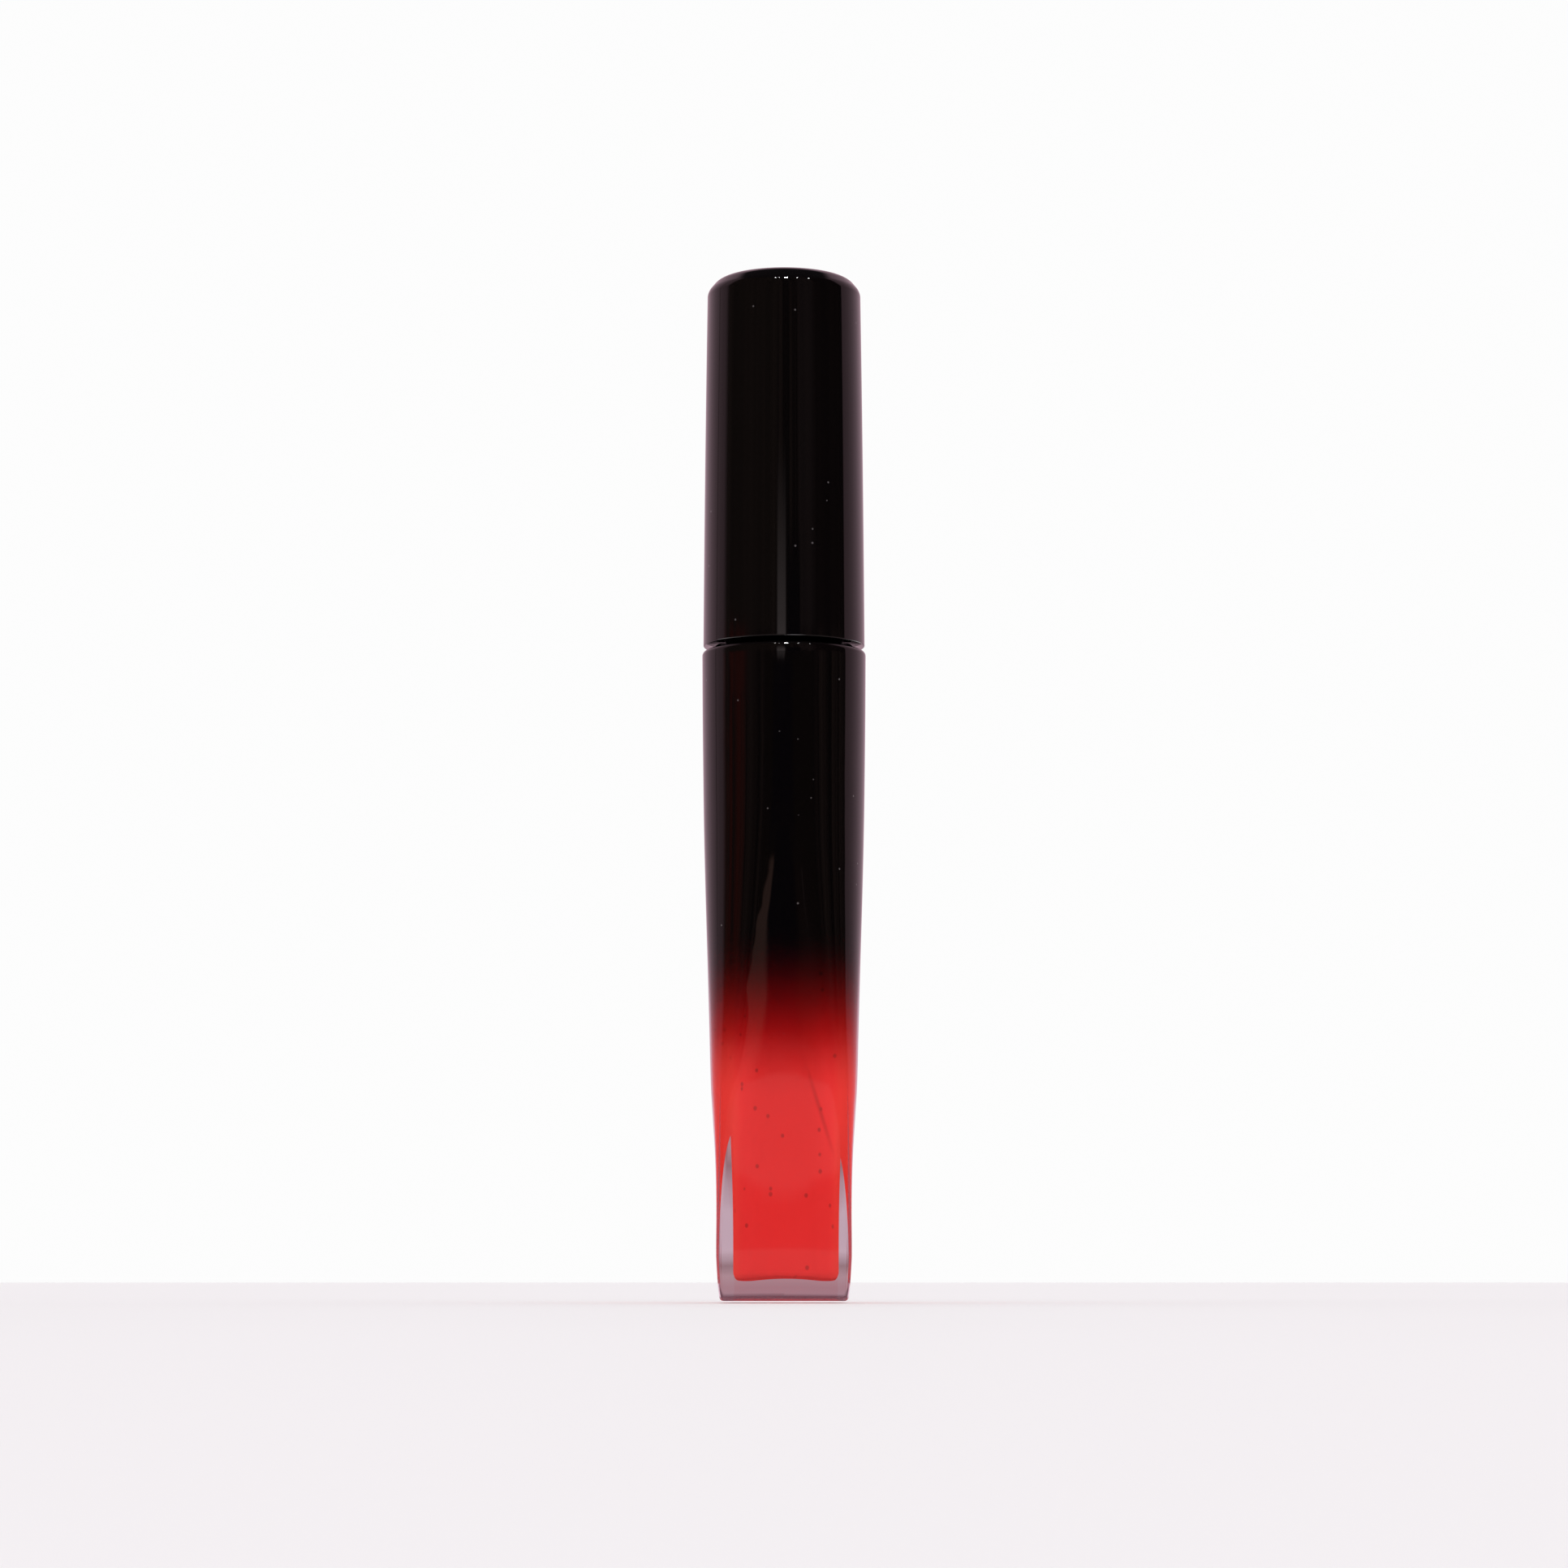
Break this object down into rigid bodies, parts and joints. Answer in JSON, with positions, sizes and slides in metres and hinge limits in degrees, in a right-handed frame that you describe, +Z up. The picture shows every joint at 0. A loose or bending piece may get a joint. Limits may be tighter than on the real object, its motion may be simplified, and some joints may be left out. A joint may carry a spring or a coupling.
{
  "type": "lip gloss tube",
  "caption": "Slim lip gloss tube: a heavy glass bottle that grows from a square foot to a round shoulder, with a black screw cap that carries the wand and flocked applicator.",
  "frame": {"origin": "on the surface it stands on, under the middle of the square foot", "axes": "+Z up along the tube and the wand, out through the cap; +X and +Y square to two neighbouring flat sides of the foot"},
  "size_m": [0.017, 0.017, 0.1065],
  "materials": {
    "lacquered_glass": "thick clear glass, sprayed black outside, the lacquer fading out above the foot",
    "red_gloss": "thick glossy coral red liquid",
    "wiper_plastic": "natural soft polyethylene",
    "seal_rubber": "soft pale foam rubber",
    "weight_steel": "drawn steel tube",
    "black_gloss_plastic": "polished black",
    "liner_plastic": "moulded black polypropylene",
    "rod_plastic": "moulded black",
    "core_plastic": "natural nylon",
    "flock": "short nylon flock, tinted by the gloss"
  },
  "bodies": {
    "bottle": {"glass_bottle": "lacquered_glass", "gloss_fill": "red_gloss", "neck_wiper": "wiper_plastic"},
    "seal": {"seal_ring": "seal_rubber"},
    "weight": {"cap_weight": "weight_steel"},
    "cap": {"cap_shell": "black_gloss_plastic", "cap_liner": "liner_plastic", "wand_rod": "rod_plastic", "applicator_core": "core_plastic", "applicator_flock": "flock"}
  },
  "joints": [
    {"name": "cap_pull", "type": "slide", "parent": "bottle", "child": "seal", "axis": [0, 0, 1], "range_m": [0, 0.076]},
    {"name": "cap_rise", "type": "slide", "parent": "seal", "child": "weight", "axis": [0, 0, 1], "range_m": [0, 0.00313]},
    {"name": "cap_turn", "type": "hinge", "parent": "weight", "child": "cap", "pos_m": [0, 0, 0.0676], "axis": [0, 0, 1], "range_deg": [0, 450]}
  ],
  "couplings": [
    {"joint": "cap_rise", "follows": "cap_turn", "m_per_rad": 0.00039789}
  ]
}
